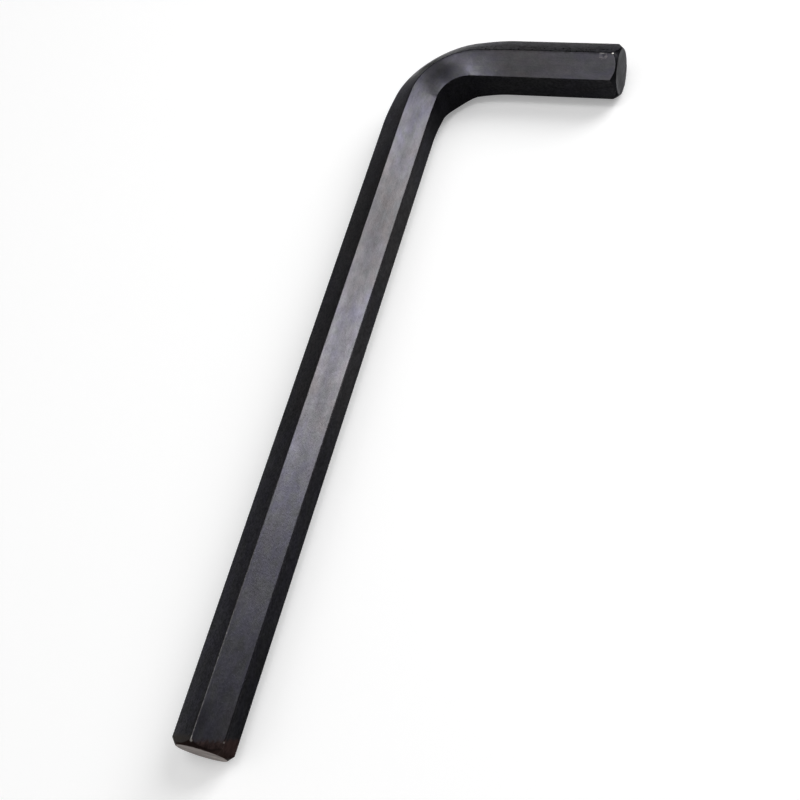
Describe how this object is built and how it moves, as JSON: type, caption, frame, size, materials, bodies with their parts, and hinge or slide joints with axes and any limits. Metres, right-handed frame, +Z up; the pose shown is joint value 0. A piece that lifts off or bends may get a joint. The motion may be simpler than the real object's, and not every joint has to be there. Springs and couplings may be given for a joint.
{
  "type": "hex key",
  "caption": "L-shaped key of blackened hexagonal steel bar with a long arm, a short arm and chamfered ends, for turning hex socket screws.",
  "frame": {"origin": "middle of the rectangle that the key covers, on the surface it lies on", "axes": "+X along the long arm from the bend to its end face, +Y along the short arm from the bend to its end face, +Z up, square to the plane of the L"},
  "size_m": [0.191, 0.0572, 0.0138],
  "materials": {
    "blackened_steel": "black oxide on drawn bar, satin, bare steel worn through on edges and end faces"
  },
  "bodies": {
    "root": {"hex_key": "blackened_steel"}
  },
  "joints": []
}
